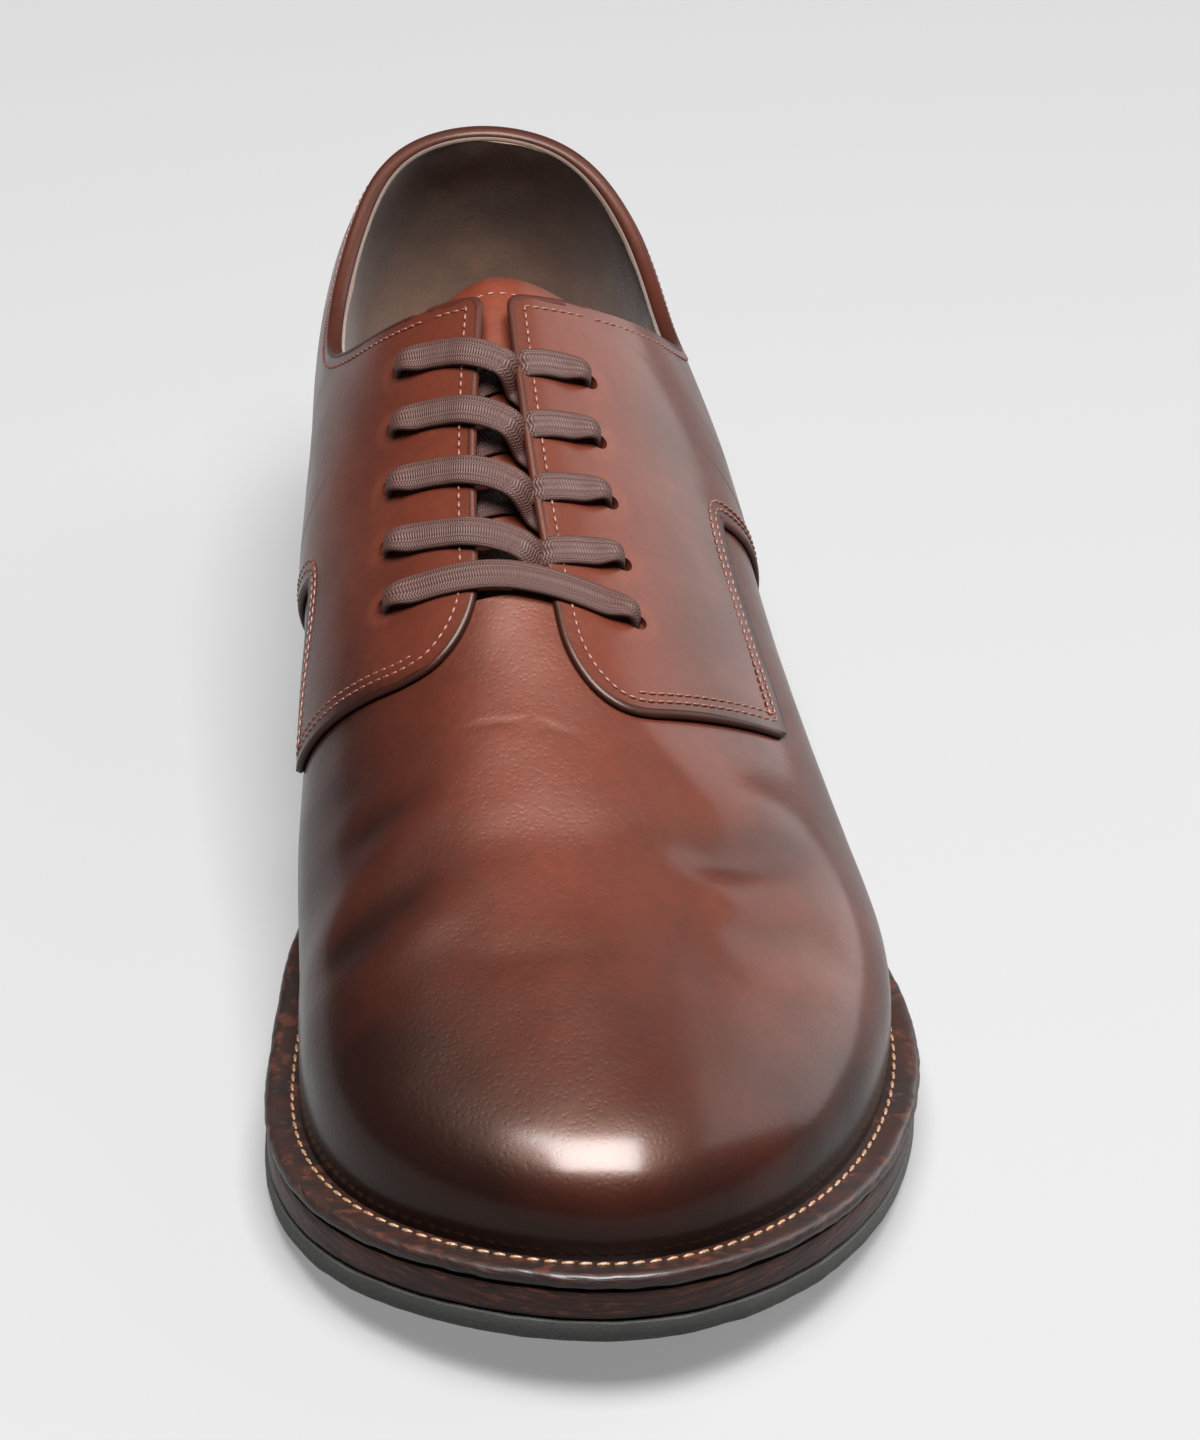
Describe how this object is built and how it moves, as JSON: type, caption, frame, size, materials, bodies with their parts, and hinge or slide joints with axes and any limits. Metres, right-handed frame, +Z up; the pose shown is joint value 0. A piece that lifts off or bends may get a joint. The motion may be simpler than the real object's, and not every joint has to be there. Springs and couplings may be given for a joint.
{
  "type": "derby shoe",
  "caption": "Plain-toe leather derby shoe for the left foot, laced, on a welted sole of leather and rubber with a stacked heel",
  "frame": {"origin": "middle of the sole's outline, on the ground", "axes": "-Y points to the toe, +X to the outer side of the foot, +Z up"},
  "size_m": [0.1212, 0.3032, 0.1094],
  "materials": {
    "upper_leather": "burnished",
    "tongue_leather": "waxed",
    "insole_leather": "satin",
    "welt_leather": "waxed",
    "midsole_leather": "burnished edge",
    "heel_leather": "burnished edge",
    "sole_rubber": "matte",
    "lace_cotton": "waxed flat weave"
  },
  "bodies": {
    "root": {"upper": "upper_leather", "tongue": "tongue_leather", "insole": "insole_leather", "welt": "welt_leather", "midsole": "midsole_leather", "outsole": "sole_rubber", "heel_lift_1": "heel_leather", "heel_lift_2": "heel_leather", "heel_lift_3": "heel_leather", "heel_top_piece": "sole_rubber", "lace_bar": "lace_cotton", "lace_crossing_1": "lace_cotton", "lace_crossing_2": "lace_cotton", "lace_crossing_3": "lace_cotton", "lace_crossing_4": "lace_cotton"}
  },
  "joints": []
}
